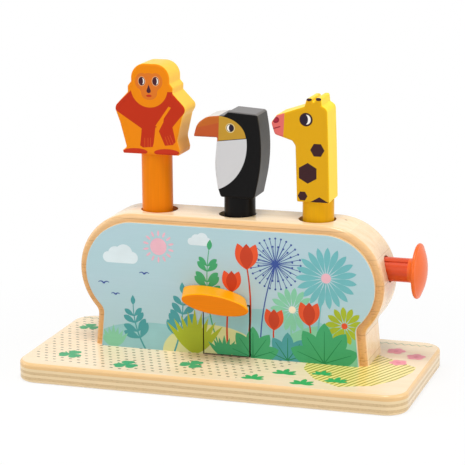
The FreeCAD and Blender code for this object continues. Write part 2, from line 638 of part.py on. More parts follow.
part("button_rod", cut("GroovedButtonRod", rod_blank, groove))

tip_length = "(At.button_tip_back - At.button_end)"
part("button_tip", cut("ButtonTip",
                       rod("TipDisc", "Size.button_tip_r", tip_length, "At.button_end",
                           "Size.body_middle_y", "Size.button_z", "X"),
                       rod("TipBore", "Size.button_tail_r + Size.glue_gap", tip_length, "At.button_end",
                           "Size.body_middle_y", "Size.button_z", "X")))
part("button_spring", coil("ButtonSpring", "Size.button_spring_mean_r", "Size.button_spring_wire_r",
                           "Size.button_spring_turns",
                           "(Size.button_spring_room - 2 * Size.spring_seat_gap)",
                           "At.button_seat + Size.spring_seat_gap + Size.button_spring_wire_r",
                           "Size.body_middle_y", "Size.button_z", "X"))

# ---------------------------------------------------------------- press lever

flap_blank = flap_shape("FlapBlank", "0", "At.flap_front", "Size.base_thick + Size.flap_foot_gap")


def paddle_dowel_rod(name, gap):
    length = "Size.paddle_dowel_length"
    return rod(name, "Size.paddle_dowel_r + " + gap, "%s + 2 * %s" % (length, gap), "Size.tongue_x",
               "At.frame_front - Size.glue_gap - %s - %s" % (length, gap),
               "Size.flap_top_z - Size.paddle_dowel_drop", "Y")


part("lever_flap", cut("LeverFlap", flap_blank, paddle_dowel_rod("FlapDowelHole", "Size.glue_gap")))
half_tongue = "Size.tongue_width / 2"
hinge_blank = box("HingeBlank", ("Size.tongue_x - " + half_tongue, "Size.tongue_x + " + half_tongue),
                  ("At.frame_front", "At.frame_front + Size.hinge_thick"),
                  ("Size.pivot_z - Size.hinge_drop", "Size.pivot_z + Size.hinge_rise"))
pin_half = "(%s + Size.bracket_gap + Size.bracket_width)" % half_tongue


def pivot_rod(name, gap):
    return rod(name, "Size.pivot_pin_r + " + gap, "2 * " + pin_half, "Size.tongue_x - " + pin_half,
               "At.pivot_y", "Size.pivot_z", "X")


part("lever_hinge_block", cut("HingeBlock", hinge_blank, pivot_rod("HingeBore", "Size.pivot_gap")))
part("lever_pivot_pin", pivot_rod("PivotPin", "0"))
for side, sign in (("left", -1), ("right", 1)):
    near = "Size.tongue_x + %d * (%s + Size.bracket_gap)" % (sign, half_tongue)
    far = "Size.tongue_x + %d * %s" % (sign, pin_half)
    low, high = (far, near) if sign < 0 else (near, far)
    blank = box(side.capitalize() + "BracketBlank", (low, high),
                ("At.frame_front", "At.frame_front + Size.bracket_thick"),
                ("Size.pivot_z - Size.hinge_drop", "At.board_low"))
    part("lever_bracket_" + side,
         cut(side.capitalize() + "Bracket", blank,
             pivot_rod(side.capitalize() + "BracketBore", "Size.glue_gap")))
part("lever_kicker", box("Kicker", ("Size.lever_x - Size.kicker_width / 2",
                                    "Size.lever_x + Size.kicker_width / 2"),
                         ("At.frame_front", "At.frame_front + Size.kicker_thick"),
                         ("Size.kicker_low_z", "Size.kicker_low_z + Size.kicker_height")))

paddle = new_body("Paddle")
turn = math.radians(-value("paddle_turn"))
sections = []
for end, depth in (("back", "At.flap_front"), ("front", "At.paddle_front")):
    sketch = new_sketch(paddle, "Paddle" + end.capitalize(), "XZ_Plane")
    bind(sketch, AttachmentOffset__Base__z="-" + depth,
         AttachmentOffset__Base__x="Size.paddle_%s_x" % end,
         AttachmentOffset__Base__y="Size.paddle_%s_z" % end)
    major = FreeCAD.Vector(math.cos(turn), math.sin(turn), 0) * value("paddle_%s_half_length" % end)
    minor = FreeCAD.Vector(-math.sin(turn), math.cos(turn), 0) * value("paddle_%s_half_height" % end)
    sketch.addGeometry(Part.Ellipse(major, minor, FreeCAD.Vector()), False)
    sections.append(sketch)
loft = paddle.newObject("PartDesign::AdditiveLoft", "PaddleLoft")
loft.Profile = sections[0]
loft.Sections = [sections[1]]
loft.Ruled = True
doc.recompute()
soften(paddle, "PaddleEdge", loft, "Size.paddle_edge_r",
       lambda edge: edge.BoundBox.YLength < 1e-6 and edge.BoundBox.YMin < value("paddle_front") + 1e-6)
part("lever_paddle", cut("LeverPaddle", paddle, paddle_dowel_rod("PaddleDowelHole", "Size.glue_gap")))
part("paddle_dowel", paddle_dowel_rod("PaddleDowel", "0"))

spring_x = "Size.lever_x - Size.lever_spring_side"
spring_end = "(At.frame_front + Size.lever_spring_room)"
part("lever_spring_post", box("SpringPost", (spring_x + " - Size.spring_post_width / 2",
                                             spring_x + " + Size.spring_post_width / 2"),
                              (spring_end, spring_end + " + Size.spring_post_thick"),
                              ("Size.base_thick", "Size.base_thick + Size.spring_post_height")))
part("lever_spring", coil("LeverSpring", "Size.lever_spring_mean_r", "Size.lever_spring_wire_r",
                          "Size.lever_spring_turns",
                          "(Size.lever_spring_room - 2 * Size.spring_seat_gap)", spring_x,
                          "At.frame_front + Size.spring_seat_gap + Size.lever_spring_wire_r",
                          "Size.lever_spring_z", "Y"))

# ---------------------------------------------------------------- turning knob

knob = new_body("Knob")
knob_sketch = new_sketch(knob, "KnobOutline", "XZ_Plane")
knob_sketch.addGeometry(Part.Circle(FreeCAD.Vector(), FreeCAD.Vector(0, 0, 1), value("knob_r")), False)
limit(knob_sketch, "radius", "Size.knob_r", "Radius", 0, value("knob_r"))
knob_sketch.addConstraint(Sketcher.Constraint("Coincident", 0, 3, -1, 1))
knob_pad = pad(knob, "KnobPad", knob_sketch, "Size.knob_thick")
knob_pad.Reversed = True
doc.recompute()
scallop_sketch = new_sketch(knob, "ScallopOutline", "XZ_Plane")
scallop_sketch.addGeometry(Part.Circle(FreeCAD.Vector(value("knob_scallop_reach"), 0, 0),
                                       FreeCAD.Vector(0, 0, 1), value("knob_scallop_r")), False)
limit(scallop_sketch, "radius", "Size.knob_scallop_r", "Radius", 0, value("knob_scallop_r"))
limit(scallop_sketch, "reach", "Size.knob_scallop_reach", "DistanceX", -1, 1, 0, 3,
      value("knob_scallop_reach"))
scallop_sketch.addConstraint(Sketcher.Constraint("PointOnObject", 0, 3, -1))
scallop = knob.newObject("PartDesign::Pocket", "Scallop")
scallop.Profile = scallop_sketch
scallop.Type = "ThroughAll"
scallop.Midplane = True
doc.recompute()
scallops = knob.newObject("PartDesign::PolarPattern", "Scallops")
scallops.Originals = [scallop]
scallops.Axis = (plane_of(knob, "Y_Axis"), [""])
scallops.Angle = 360
scallops.Occurrences = 6
knob.Tip = scallops
doc.recompute()
assert scallops.Shape.Volume < scallop.Shape.Volume < knob_pad.Shape.Volume
soften(knob, "KnobEdge", scallops, "Size.knob_edge_r",
       lambda edge: edge.BoundBox.YLength < 1e-6 and edge.BoundBox.YMin > value("knob_thick") - 1e-6)
put(knob, "At.knob_x", "At.knob_front", "Size.knob_z")
part("back_knob", cut("BackKnob", knob,
                      rod("KnobBore", "Size.knob_shaft_r + Size.glue_gap",
                          "Size.shaft_in_knob + Size.glue_gap", "At.knob_x", "At.knob_front",
                          "Size.knob_z", "Y")))
part("knob_bearing", cut("KnobBearing",
                         box("BearingBlock", ("At.knob_x - Size.bearing_width / 2",
                                              "At.knob_x + Size.bearing_width / 2"),
                             ("At.bearing_front", "At.frame_back"),
                             ("Size.board_top_z", "Size.board_top_z + Size.bearing_height")),
                         rod("BearingBore", "Size.knob_shaft_r + Size.shaft_gap", "Size.bearing_length",
                             "At.knob_x", "At.bearing_front", "Size.knob_z", "Y")))
cam_pin_y = "(At.cam_front + Size.cam_thick / 2)"


def cam_pin_rod(name, gap):
    return rod(name, "Size.cam_pin_r + " + gap, "2 * Size.cam_hub_r", "At.knob_x - Size.cam_hub_r",
               cam_pin_y, "Size.knob_z", "X")


shaft_length = "At.knob_front + Size.shaft_in_knob - At.cam_front"
part("knob_shaft", cut("KnobShaft", rod("ShaftRod", "Size.knob_shaft_r", shaft_length, "At.knob_x",
                                        "At.cam_front", "Size.knob_z", "Y"),
                       cam_pin_rod("ShaftPinHole", "Size.glue_gap")))
cam_blank = fuse("CamBlank",
                 rod("CamHub", "Size.cam_hub_r", "Size.cam_thick", "At.knob_x", "At.cam_front",
                     "Size.knob_z", "Y"),
                 rod("CamLobe", "Size.lobe_r", "Size.cam_thick", "At.knob_x", "At.cam_front",
                     "Size.knob_z + Size.lobe_reach - Size.lobe_r", "Y"),
                 box("CamWeb", ("At.knob_x - Size.lobe_r", "At.knob_x + Size.lobe_r"),
                     ("At.cam_front", "At.cam_front + Size.cam_thick"),
                     ("Size.knob_z", "Size.knob_z + Size.lobe_reach - Size.lobe_r")))
part("knob_cam", cut("KnobCam", cam_blank,
                     rod("CamBore", "Size.knob_shaft_r + Size.glue_gap", "Size.cam_thick", "At.knob_x",
                         "At.cam_front", "Size.knob_z", "Y"),
                     cam_pin_rod("CamPinHole", "Size.glue_gap")))
part("cam_pin", cam_pin_rod("CamPin", "0"))

# ---------------------------------------------------------------- checks and files

doc.recompute()
for thing in doc.Objects:
    failed = {"Invalid", "Error"} & set(thing.State)
    assert not failed, "%s is %s" % (thing.Name, failed)
for piece in PARTS:
    shape = piece.Shape
    assert not shape.isNull() and shape.isValid() and shape.Solids, piece.Label + " has no sound solid"

os.makedirs("parts", exist_ok=True)
for piece in PARTS:
    piece.Shape.exportStep("parts/%s.step" % piece.Label)
    box_of = piece.Shape.BoundBox
    print("%-20s %d solid(s)  volume %9.1f  x %7.1f..%6.1f  y %6.1f..%5.1f  z %6.1f..%6.1f" % (
        piece.Label, len(piece.Shape.Solids), piece.Shape.Volume, box_of.XMin, box_of.XMax,
        box_of.YMin, box_of.YMax, box_of.ZMin, box_of.ZMax))
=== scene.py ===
"""The looks of a wooden pop up animal toy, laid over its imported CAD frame.

Lengths are in millimetres here and become metres where they reach Blender. X runs along the toy to its
push button, Y away from the front, Z up.
"""
import json
import math

import bmesh
import bpy
from mathutils import Matrix, Vector
from mathutils.geometry import delaunay_2d_cdt

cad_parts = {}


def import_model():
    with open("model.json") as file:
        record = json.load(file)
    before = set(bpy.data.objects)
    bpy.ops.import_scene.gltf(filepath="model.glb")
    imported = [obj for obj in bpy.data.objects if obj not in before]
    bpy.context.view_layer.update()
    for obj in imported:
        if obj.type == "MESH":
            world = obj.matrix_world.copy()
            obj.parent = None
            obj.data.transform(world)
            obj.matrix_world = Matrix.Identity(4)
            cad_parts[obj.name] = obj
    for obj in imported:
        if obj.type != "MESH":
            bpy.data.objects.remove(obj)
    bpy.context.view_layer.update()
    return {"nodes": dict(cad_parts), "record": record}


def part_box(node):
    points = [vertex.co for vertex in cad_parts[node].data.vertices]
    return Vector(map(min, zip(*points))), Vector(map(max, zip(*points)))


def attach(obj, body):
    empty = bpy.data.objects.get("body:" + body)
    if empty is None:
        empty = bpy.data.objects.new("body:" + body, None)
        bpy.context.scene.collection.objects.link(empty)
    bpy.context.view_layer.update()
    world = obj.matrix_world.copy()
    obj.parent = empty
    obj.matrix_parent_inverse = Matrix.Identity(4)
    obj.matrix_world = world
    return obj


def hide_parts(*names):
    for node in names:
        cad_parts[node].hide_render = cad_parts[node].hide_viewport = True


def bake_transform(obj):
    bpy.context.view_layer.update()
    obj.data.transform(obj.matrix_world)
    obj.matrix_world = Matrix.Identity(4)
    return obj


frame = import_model()

MM = 0.001
X, Y, Z = range(3)


def corners(node):
    """A CAD node's lowest and highest corners, in millimetres."""
    low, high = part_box(node)
    return low / MM, high / MM


def colour(code):
    """Six hex digits as Blender's linear colour."""
    parts = [int(code[i:i + 2], 16) / 255 for i in (0, 2, 4)]
    return [c / 12.92 if c <= 0.04045 else ((c + 0.055) / 1.055) ** 2.4 for c in parts] + [1.0]


def around(centre, reach, angle):
    """The point that lies so far from a centre, at an angle in radians."""
    return centre[0] + reach * math.cos(angle), centre[1] + reach * math.sin(angle)


# ---------------------------------------------------------------- numbers that vary over a surface

class Field:
    """A number at each point of a surface. Sums and products of fields become Math nodes."""

    def __init__(self, tree, socket):
        self.tree = tree
        self.socket = socket

    def math(self, operation, *others, clamp=False):
        node = self.tree.nodes.new("ShaderNodeMath")
        node.operation = operation
        node.use_clamp = clamp
        for entry, value in zip(node.inputs, (self,) + others):
            if isinstance(value, Field):
                self.tree.links.new(value.socket, entry)
            else:
                entry.default_value = value
        return Field(self.tree, node.outputs[0])

    def __add__(self, other):
        return self.math("ADD", other)

    def __sub__(self, other):
        return self.math("SUBTRACT", other)

    def __rsub__(self, other):
        return -self + other

    def __mul__(self, other):
        return self.math("MULTIPLY", other)

    def __truediv__(self, other):
        return self.math("DIVIDE", other)

    def __neg__(self):
        return self.math("MULTIPLY", -1.0)

    def __abs__(self):
        return self.math("ABSOLUTE")

    def low(self, other):
        return self.math("MINIMUM", other)

    def high(self, other):
        return self.math("MAXIMUM", other)

    def above(self, level):
        return self.math("GREATER_THAN", level)

    def below(self, level):
        return self.math("LESS_THAN", level)

    def clamped(self):
        return self.math("ADD", 0.0, clamp=True)

    def floor(self):
        return self.math("FLOOR")

    def cycle(self, length):
        """The remainder after whole lengths, never negative."""
        return self.math("FLOORED_MODULO", length)


EDGE = 0.12      # how far a painted edge fades over, mm


def within(distance):
    """1 where a signed distance is inside its shape, 0 outside."""
    return (distance * (-1 / EDGE) + 0.5).clamped()


def ellipse(x, z, centre, half_length, half_height, turn=0.0):
    """Signed distance to an ellipse, turned by so many degrees."""
    c, s = math.cos(math.radians(turn)), math.sin(math.radians(turn))
    dx, dz = x - centre[0], z - centre[1]
    u = (dx * c + dz * s) / half_length
    v = (dz * c - dx * s) / half_height
    return ((u * u + v * v).math("SQRT") - 1.0) * min(half_length, half_height)


def convex(x, z, points):
    """Signed distance to a convex shape whose corners run clockwise."""
    result = None
    for (x0, z0), (x1, z1) in zip(points, points[1:] + points[:1]):
        length = math.hypot(x1 - x0, z1 - z0)
        nx, nz = (z0 - z1) / length, (x1 - x0) / length
        side = x * nx + z * nz - (x0 * nx + z0 * nz)
        result = side if result is None else result.high(side)
    return result


def stroke(x, z, start, end, radius):
    """Signed distance to a round-ended stroke."""
    dx, dz = end[0] - start[0], end[1] - start[1]
    px, pz = x - start[0], z - start[1]
    t = ((px * dx + pz * dz) * (1 / (dx * dx + dz * dz))).clamped()
    ex, ez = px - t * dx, pz - t * dz
    return (ex * ex + ez * ez).math("SQRT") - radius


# ---------------------------------------------------------------- finishes

class Finish:
    """A node material: its place on the object in millimetres, and a colour with layers laid over it."""

    def __init__(self, name, base, roughness, gloss):
        self.material = bpy.data.materials.new(name)
        self.material.use_nodes = True
        self.tree = self.material.node_tree
        self.shader = self.tree.nodes["Principled BSDF"]
        self.shader.inputs["Roughness"].default_value = roughness
        self.shader.inputs["Specular IOR Level"].default_value = gloss
        place = self.tree.nodes.new("ShaderNodeTexCoord")
        self.x, self.y, self.z = self.split(place.outputs["Object"], 1 / MM)
        self.nx, self.ny, self.nz = self.split(place.outputs["Normal"], 1.0)
        self.base = self.tree.nodes.new("ShaderNodeRGB").outputs[0]
        self.base.default_value = colour(base)

    def split(self, vector, factor):
        node = self.tree.nodes.new("ShaderNodeSeparateXYZ")
        self.tree.links.new(vector, node.inputs[0])
        fields = [Field(self.tree, output) for output in node.outputs]
        return fields if factor == 1.0 else [field * factor for field in fields]

    def noise(self, x_size, y_size, z_size, detail=2.0, seed=0.0, rough=0.5):
        """Cloudy noise about 0.5, whose blobs are as large as the sizes given."""
        vector = self.tree.nodes.new("ShaderNodeCombineXYZ")
        for entry, field, size in zip(vector.inputs, (self.x, self.y, self.z), (x_size, y_size, z_size)):
            self.tree.links.new((field / size + seed).socket, entry)
        node = self.tree.nodes.new("ShaderNodeTexNoise")
        node.inputs["Scale"].default_value = 1.0
        node.inputs["Detail"].default_value = detail
        node.inputs["Roughness"].default_value = rough
        self.tree.links.new(vector.outputs[0], node.inputs["Vector"])
        return Field(self.tree, node.outputs["Fac"])

    def streaks(self, along, length, width, seed=0.0):
        """Wood grain: noise drawn out along one axis."""
        sizes = [length if axis == along else width for axis in "xyz"]
        return self.noise(*sizes, detail=3.0, seed=seed, rough=0.6)

    def lay(self, mask, code):
        """Lay a colour over what is there, as far as the mask goes."""
        mix = self.tree.nodes.new("ShaderNodeMix")
        mix.data_type = "RGBA"
        share, under, over, result = mix.inputs[0], mix.inputs[6], mix.inputs[7], mix.outputs[2]
        self.tree.links.new(mask.socket, share)
        self.tree.links.new(self.base, under)
        over.default_value = colour(code)
        self.base = result

    def shade(self, field, amount):
        """Lighten and darken by a field that runs about 0.5."""
        node = self.tree.nodes.new("ShaderNodeHueSaturation")
        self.tree.links.new(((field - 0.5) * (2 * amount) + 1.0).socket, node.inputs["Value"])
        self.tree.links.new(self.base, node.inputs["Color"])
        self.base = node.outputs[0]

    def relief(self, height, depth):
        """Raise the surface by a field, depth millimetres for each unit of it."""
        node = self.tree.nodes.new("ShaderNodeBump")
        node.inputs["Distance"].default_value = depth * MM
        self.tree.links.new(height.socket, node.inputs["Height"])
        self.tree.links.new(node.outputs[0], self.shader.inputs["Normal"])

    def done(self):
        self.tree.links.new(self.base, self.shader.inputs["Base Color"])
        return self.material


def plain_wood(name, light, dark, roughness=0.5, gloss=0.2, seed=0.0):
    """Bare wood, its grain along the toy."""
    finish = Finish(name, light, roughness, gloss)
    broad = finish.streaks("x", 90.0, 5.0, seed)
    fine = finish.streaks("x", 26.0, 0.7, seed + 7)
    finish.lay(((broad - 0.42) * 2.4).clamped(), dark)
    finish.shade(fine, 0.16)
    finish.relief(fine, 0.05)
    return finish.done()


def paint(name, code, along="z", gloss=0.09, streak=0.10):
    """Paint over wood: the grain shows faintly through it."""
    finish = Finish(name, code, 0.32, gloss)
    fine = finish.streaks(along, 30.0, 0.9)
    finish.shade(fine, streak)
    finish.relief(fine, 0.03)
    return finish


def painted(*settings, **more):
    return paint(*settings, **more).done()


def paddle_paint():
    """A deeper orange on the face, and a yellower, lighter gold on the rim where it looks up: partly the
    paint's yellower tone, partly painted light from above.
    """
    finish = paint("paddle_paint", "E67E06", "x")
    # painted light: the up-facing rim gets a lighter gold that stands in for light from above, on top of
    # its yellower tone
    finish.lay(((finish.nz - 0.25) * 3.0).clamped(), "F6A600")
    return finish.done()


def button_paint():
    """Red along the rod, more orange on the cap."""
    finish = paint("button_paint", "D84812", "x", 0.35)
    finish.lay(finish.x.above(corners("button_cap")[0].x), "EA661A")
    return finish.done()


BLOCK = 16.4     # height of the blocks that the ring is glued up from, mm


def body_wood():
    """Solid blocks glued one on another: each has its own tone, and a thin line shows between them."""
    finish = Finish("body_wood", "F3DBB4", 0.22, 0.5)
    level = finish.z - 0.2
    tone = ((level / BLOCK).floor() * 2.37).math("SINE") * 0.5 + 0.5
    broad = finish.streaks("x", 85.0, 6.0)
    fine = finish.streaks("x", 22.0, 0.8, 3.0)
    finish.lay(((broad - 0.40) * 1.8).clamped() * 0.7, "E6BE88")
    finish.shade(tone, 0.04)
    rim = ((-finish.ny - 0.30) * 3.0).clamped()
    finish.lay(rim * 0.75, "E0AE70")
    end_grain = rim * ((90.0 - finish.z) / 26.0).clamped()
    finish.lay(end_grain * 0.8, "DDA360")
    burr = finish.noise(3.4, 3.4, 1.0, 3.0, 8.0)
    finish.lay(end_grain * ((burr - 0.54) * 6.0).clamped() * 0.5, "B5763A")
    half_seam = 0.14
    seam = within((BLOCK / 2 - half_seam) - abs(level.cycle(BLOCK) - BLOCK / 2))
    finish.lay(seam * (0.9 - abs(finish.nz)).clamped() * 0.7, "9A6A38")
    finish.shade(fine, 0.13)
    finish.relief(fine, 0.05)
    nail_place, nail_r = (71.0, 18.5), 0.9
    nail = ellipse(abs(finish.x), finish.y, nail_place, nail_r, nail_r)
    finish.lay(within(nail) * finish.nz.above(0.3) * finish.z.above(90.0) * 0.75, "8A7256")
    return finish.done()


def base_plywood():
    """Birch plywood: plies along the edges, and a print of dashes and slanting lines on top."""
    low, high = corners("base_board")
    plies, rounding, flat = 7, 3.9, 0.97
    ply = (high.z - low.z) / plies
    finish = Finish("base_plywood", "F5DFBC", 0.24, 0.45)
    x, y = finish.x, finish.y
    broad = finish.streaks("x", 80.0, 7.0)
    fine = finish.streaks("x", 24.0, 0.8, 3.0)
    finish.lay(((broad - 0.40) * 1.5).clamped() * 0.7, "ECCB9A")
    finish.shade(fine, 0.10)

    side = ((0.80 - abs(finish.nz)) * 5.0).clamped()
    wave = finish.noise(34.0, 34.0, 5.0, seed=5.0) * 0.7 - 0.35
    layer = (finish.z + wave) / ply
    odd = layer.floor().cycle(2.0).above(0.5)
    finish.lay(side * 0.9, "E3CA9E")
    finish.lay(side * odd * 0.7, "CBAD80")
    end_grain = finish.noise(1.6, 1.6, 0.5, seed=2.0)
    finish.lay(side * odd * ((end_grain - 0.5) * 5.0).clamped() * 0.4, "AF8E64")
    turned = (flat - finish.nz).above(0.0) * ((finish.z - (high.z - rounding)) * 2.0).clamped()
    finish.lay(turned * 0.75, "E9BD7E")

    top = finish.nz.above(flat)
    dash_pitch, row_pitch, dash, line = 6.0, 4.85, 2.1, 1.6
    lean = math.radians(-9)
    down_row = x * math.cos(lean) + y * math.sin(lean)
    over_rows = y * math.cos(lean) - x * math.sin(lean)
    row = (over_rows / row_pitch).floor()
    along = (down_row + row.cycle(2.0) * (dash_pitch / 2)).cycle(dash_pitch) - dash_pitch / 2
    across = over_rows.cycle(row_pitch) - row_pitch / 2
    dashes = within((abs(along) - dash / 2).high(abs(across) - line / 2))
    lawn = convex(x, y, [(-122, -38), (-123, 52), (46, 52), (48, -10), (32, -32), (20, -50), (-60, -53.5),
                         (-112, -49)])
    finish.lay(top * dashes * within(lawn) * 0.85, "70725A")

    line_pitch, rise = 3.4, math.radians(65)
    slant = x * math.sin(rise) - y * math.cos(rise)
    lines = within(abs(slant.cycle(line_pitch) - line_pitch / 2) - line_pitch * 0.2)
    field = convex(x, y, [(49, 21), (92, 22), (121, 2), (121, -8), (115, -27), (103, -42), (84, -49.5),
                          (66, -38.5), (54, -20)])
    finish.lay(top * within(field) * 0.75, "F6E574")
    finish.lay(top * lines * within(field) * 0.85, "9A911C")
    finish.relief(fine, 0.03)
    return finish.done()


def printed(name, face_sign):
    """Thin plywood with a pale blue printed face, bare edges, and painted shade on the walls of the slot
    round the lever's flap.
    """
    finish = Finish(name, "DDBF92", 0.42, 0.2)
    finish.shade(finish.streaks("x", 40.0, 1.2), 0.15)
    face = (finish.ny * face_sign).above(0.7)
    finish.lay(face, "AFCDD4")
    finish.lay(face * ((finish.noise(70.0, 70.0, 34.0, seed=4.0) - 0.45) * 2.5).clamped() * 0.5, "B9C9D6")
    low, high = corners("lever_flap")
    margin = 1.0
    reach = max(-low.x, high.x) + margin
    # painted shade: the side walls in and round the flap's slot are laid dark brown, standing in for the
    # shade inside the gap
    slot = abs(finish.ny).below(0.5) * abs(finish.x).below(reach) * finish.z.below(high.z + margin)
    finish.lay(slot * 0.9, "33261C")
    fine = finish.streaks("x", 25.0, 0.7, 3.0)
    finish.shade(fine, 0.03)
    finish.relief(fine, 0.02)
    return finish.done()


FACING = 0.55    # how squarely a figure's surface looks forwards or back where it is printed
EYE_WHITE, MONKEY_RED, GIRAFFE_BROWN = "F3EDE6", "C2341B", "3D2225"


def figure_finish(name, side_code, front_code, roughness=0.34):
    """A painted sawn board: the front and back have a printed colour, the sawn sides a plain one."""
    finish = Finish(name, side_code, roughness, 0.1)
    finish.shade(finish.streaks("z", 30.0, 1.4, 2.0), 0.08)
    face = abs(finish.ny).above(FACING)
    finish.lay(face, front_code)
    return finish, face


def eye(finish, face, centre, radius, ring, white_side):
    """A round dark eye with a white crescent on one side, in a ring."""
    x, z = finish.x, finish.z
    cx, cz = centre
    finish.lay(face * within(ellipse(x, z, centre, radius * 1.22, radius * 1.22)), ring)
    finish.lay(face * within(ellipse(x, z, centre, radius, radius)), "2B2030")
    white = ellipse(x, z, (cx + white_side * radius * 0.12, cz), radius * 0.74, radius * 0.86)
    pupil = ellipse(x, z, (cx - white_side * radius * 0.30, cz), radius * 0.66, radius * 0.95)
    finish.lay(face * within(white.high(-pupil)), EYE_WHITE)


def monkey_paint():
    finish, face = figure_finish("monkey_paint", "FFC83E", "EA8608")
    x, z = finish.x, finish.z
    # painted light: the lower sawn sides get a stronger orange that stands in for the floor's bounce
    # light, which the lamps leave dull there
    painted_bounce_light = ((168.0 - z) / 28.0).clamped() * abs(finish.ny).below(FACING)
    finish.lay(painted_bounce_light * 0.9, "FF9A1E")
    torso = convex(x, z, [(-66.5, 180.5), (-42.0, 180.5), (-38.6, 171.6), (-49.6, 157.4), (-59.5, 155.6),
                          (-73.4, 165.0), (-77.5, 167.6), (-77.5, 170.6)])
    left_hand = convex(x, z, [(-59.4, 157.6), (-50.0, 159.0), (-51.6, 147.0), (-52.3, 144.6),
                              (-58.8, 143.9), (-60.8, 145.2)])
    right_arm = convex(x, z, [(-42.0, 180.5), (-38.8, 180.5), (-29.8, 171.4), (-29.8, 168.8),
                              (-39.3, 157.3), (-44.9, 160.5)])
    right_hand = convex(x, z, [(-44.8, 161.0), (-38.8, 158.4), (-36.7, 148.6), (-38.6, 146.5),
                               (-44.0, 145.8), (-48.0, 155.0)])
    arms = torso.low(left_hand).low(right_arm).low(right_hand)
    parting = convex(x, z, [(-41.2, 171.2), (-39.6, 170.4), (-48.6, 157.4), (-50.2, 158.4)])
    chin = ellipse(x, z, (-54.1, 182.6), 12.4, 12.6)
    finish.lay(face * within(arms.high(-parting).high(-chin)), "BC3014")
    for centre in ((-64.3, 141.0), (-43.0, 141.4)):
        finish.lay(face * within(ellipse(x, z, centre, 8.4, 2.3, 1.5)), MONKEY_RED)
    for start, end in (((-57.6, 150.2), (-57.7, 144.3)), ((-55.4, 150.3), (-55.5, 144.2)),
                       ((-53.6, 150.4), (-53.7, 144.4)), ((-43.8, 151.4), (-41.8, 146.3)),
                       ((-42.1, 152.0), (-39.9, 146.6)), ((-40.5, 152.7), (-38.2, 147.3))):
        finish.lay(face * within(stroke(x, z, start, end, 0.16)) * 0.5, "E8762F")
    brow = ellipse(x, z, (-58.9, 186.6), 4.6, 5.4).low(ellipse(x, z, (-49.6, 186.8), 4.6, 5.4))
    brow = brow.low(ellipse(x, z, (-54.2, 188.0), 6.4, 4.0))
    muzzle = convex(x, z, [(-61.6, 184.0), (-46.9, 184.3), (-49.6, 178.0), (-58.6, 177.8)])
    mouth_patch = ellipse(x, z, (-54.1, 179.4), 5.4, 4.6)
    finish.lay(face * within(brow.low(muzzle).low(mouth_patch)), "DA7424")
    for centre in ((-59.0, 186.7), (-49.7, 187.0)):
        finish.lay(face * within(ellipse(x, z, centre, 2.5, 3.1)), "E8AE80")
        finish.lay(face * within(ellipse(x, z, centre, 2.15, 2.75)), "46222C")
        cx, cz = centre
        light = ellipse(x, z, (cx + 0.5, cz), 1.25, 2.0)
        pupil = ellipse(x, z, (cx - 0.35, cz), 1.35, 2.3)
        finish.lay(face * within(light.high(-pupil)), EYE_WHITE)
    nose = ellipse(x, z, (-54.4, 180.7), 1.45, 1.45).low(
        convex(x, z, [(-54.4, 184.8), (-53.1, 181.2), (-55.7, 181.2)]))
    finish.lay(face * within(nose), "4A2530")
    finish.lay(face * within(ellipse(x, z, (-54.3, 177.5), 1.9, 0.75)), MONKEY_RED)
    return finish.done()


def toucan_paint():
    finish, face = figure_finish("toucan_paint", "3C3A38", "100F0F", 0.30)
    x, z = finish.x, finish.z
    finish.shade(finish.noise(1.3, 1.3, 4.0, 3.0, 4.0), 0.45)
    # painted highlight: the faces that look up get a lighter grey, a painted sheen of the light from above
    finish.lay(finish.nz.above(0.5) * 0.7, "7C7877")
    beak = convex(x, z, [(-40, 180), (-7.2, 180), (-8.3, 149.5), (-40, 149.5)])
    finish.lay(within(beak) * abs(finish.ny).below(FACING) * finish.nz.above(0.2), "D9D5D0")
    finish.lay(face * within(beak), "BE6428")
    finish.lay(face * within(beak.high(x * -0.25 + z - 164.3)), "BC562C")
    brow = ellipse(x, z, (-8.5, 152.5), 18.4, 14.2)
    cheek = brow.high(-beak).high(x * 0.13 - z + 152.0)
    finish.lay(face * within(cheek), "BE9232")
    breast = ellipse(x, z, (-17.5, 149.0), 28.0, 31.0).high(x * -0.13 + z - 151.6)
    finish.lay(face * within(breast), "CDCCCD")
    eye(finish, face, (-0.3, 159.4), 2.5, "D8C48C", -1)
    return finish.done()


def giraffe_paint():
    finish, face = figure_finish("giraffe_paint", "FFDA22", "DBA312")
    x, z = finish.x, finish.z
    finish.lay(face * within(x + z * -0.055 - 25.8), "DE6C66")
    finish.lay(face * within(ellipse(x, z, (29.6, 166.0), 2.2, 1.9, 20)), "8E2433")
    finish.lay(face * within(ellipse(x, z, (29.6, 166.0), 1.3, 1.0, 20)), "A82C3E")
    finish.lay(face * within(stroke(x, z, (26.5, 160.0), (32.2, 161.9), 0.34)), "8E2433")
    for centre in ((50.9, 180.9), (57.1, 181.3)):
        finish.lay(abs(finish.ny).above(0.2) * within(ellipse(x, z, centre, 2.4, 2.2)), GIRAFFE_BROWN)
    eye(finish, face, (49.1, 167.1), 3.5, GIRAFFE_BROWN, 1)
    for centre, radius, turn in (((56.4, 148.1), 4.6, 0), ((50.2, 133.2), 6.6, 30),
                                 ((46.9, 118.6), 3.2, 0), ((57.8, 111.6), 6.8, 30)):
        points = [around(centre, radius, math.radians(turn - 60 * k)) for k in range(6)]
        finish.lay(face * within(convex(x, z, points)), GIRAFFE_BROWN)
    return finish.done()


def steel(name, code, roughness):
    finish = Finish(name, code, roughness, 0.5)
    finish.shader.inputs["Metallic"].default_value = 1.0
    finish.shade(finish.noise(0.6, 6.0, 0.6), 0.12)
    return finish.done()


